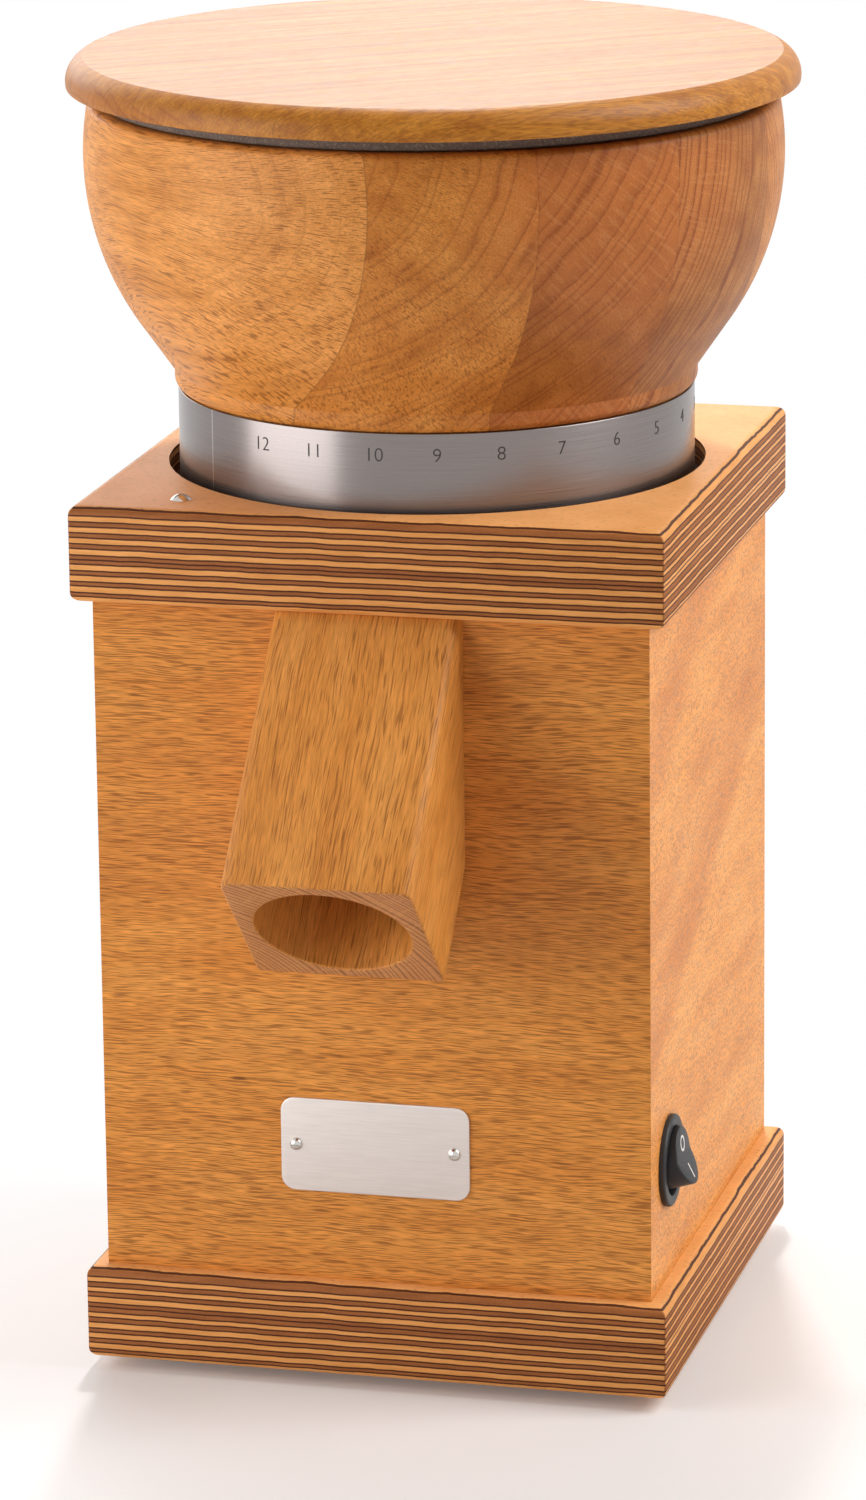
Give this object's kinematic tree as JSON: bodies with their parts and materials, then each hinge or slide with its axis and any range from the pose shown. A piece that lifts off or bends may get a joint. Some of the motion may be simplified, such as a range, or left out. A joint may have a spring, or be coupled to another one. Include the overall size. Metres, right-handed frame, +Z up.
{
  "type": "electric grain mill",
  "caption": "Electric stone grain mill: square wooden body, turning hopper bowl with a steel setting ring, lift-off lid, sloping flour spout and rocker switch.",
  "frame": {"origin": "on the table, at the underside of the feet, in the middle of the overall width and depth with the spout; the hopper's axis stands 20.34 mm behind it", "axes": "+Z up, parallel to the hopper's axis; the spout faces -Y, the switch is on the +X side"},
  "size_m": [0.2266, 0.2672, 0.4049],
  "materials": {
    "plywood": "oiled edge-on plywood",
    "beech_panel": "oiled beech",
    "beech_bowl": "oiled turned beech",
    "beech_lid": "oiled turned beech, pale",
    "beech_block": "raw sawn wood",
    "felt": "grey felt",
    "ring_steel": "satin stainless sheet",
    "screw_steel": "zinc plated",
    "bright_screw": "polished nickel",
    "name_metal": "satin",
    "cast_aluminium": "cast and machined",
    "core_steel": "laminated steel",
    "winding": "varnished copper wire",
    "stone": "ceramic bonded corundum",
    "white_plastic": "moulded",
    "black_plastic": "satin black",
    "black_rubber": "matt",
    "contact_metal": "bare",
    "wire_plastic": "cable sheath"
  },
  "bodies": {
    "housing": {"top_plate": "plywood", "bottom_plate": "plywood", "front_panel": "beech_panel", "back_panel": "beech_panel", "left_panel": "beech_panel", "right_panel": "beech_panel", "corner_blocks": "beech_block", "top_screws": "screw_steel", "feet": "black_rubber", "foot_screws": "screw_steel", "spout": "beech_bowl", "spout_screws": "screw_steel", "name_plate": "name_metal", "name_plate_screws": "bright_screw", "index_screw": "bright_screw", "grinding_chamber": "cast_aluminium", "flour_chute": "white_plastic", "chamber_screws": "screw_steel", "retaining_ring": "cast_aluminium", "retaining_screws": "screw_steel", "upper_shield": "cast_aluminium", "lower_shield": "cast_aluminium", "stator_core": "core_steel", "end_windings": "winding", "motor_screws": "screw_steel", "bearings": "bright_screw", "shaft_seal": "black_rubber", "capacitor": "white_plastic", "capacitor_clip": "screw_steel", "switch_housing": "black_plastic", "switch_terminals": "contact_metal", "terminal_block": "white_plastic", "inlet_gland": "black_plastic", "gland_nut": "black_plastic", "lead_wires": "wire_plastic"},
    "grinding_rotor": {"motor_shaft": "screw_steel", "rotor_core": "core_steel", "cooling_fan": "black_plastic", "stone_carrier": "cast_aluminium", "lower_stone": "stone", "carrier_nut": "screw_steel"},
    "hopper": {"hopper_bowl": "beech_bowl", "setting_ring": "ring_steel", "hopper_base": "white_plastic", "base_screws": "screw_steel"},
    "upper_stone_carrier": {"stone_holder": "cast_aluminium", "upper_stone": "stone"},
    "lid": {"lid": "beech_lid", "lid_seal": "felt"},
    "rocker": {"rocker": "black_plastic"}
  },
  "joints": [
    {"name": "grind_setting", "type": "hinge", "parent": "housing", "child": "hopper", "pos_m": [0, 0.02034, 0.28], "axis": [0, 0, 1], "range_deg": [-188, 0]},
    {"name": "stone_travel", "type": "slide", "parent": "housing", "child": "upper_stone_carrier", "axis": [0, 0, 1], "range_m": [-0.00157, 0]},
    {"name": "motor_spin", "type": "hinge", "parent": "housing", "child": "grinding_rotor", "pos_m": [0, 0.02034, 0.16], "axis": [0, 0, 1], "continuous": true},
    {"name": "lid_lift", "type": "slide", "parent": "hopper", "child": "lid", "axis": [0, 0, 1], "range_m": [0, 0.12]},
    {"name": "rocker_press", "type": "hinge", "parent": "housing", "child": "rocker", "pos_m": [0.08585, -0.04151, 0.0718], "axis": [0, 1, 0], "range_deg": [0, 34]}
  ],
  "couplings": [
    {"joint": "stone_travel", "follows": "grind_setting", "m_per_rad": 0.00047746}
  ]
}
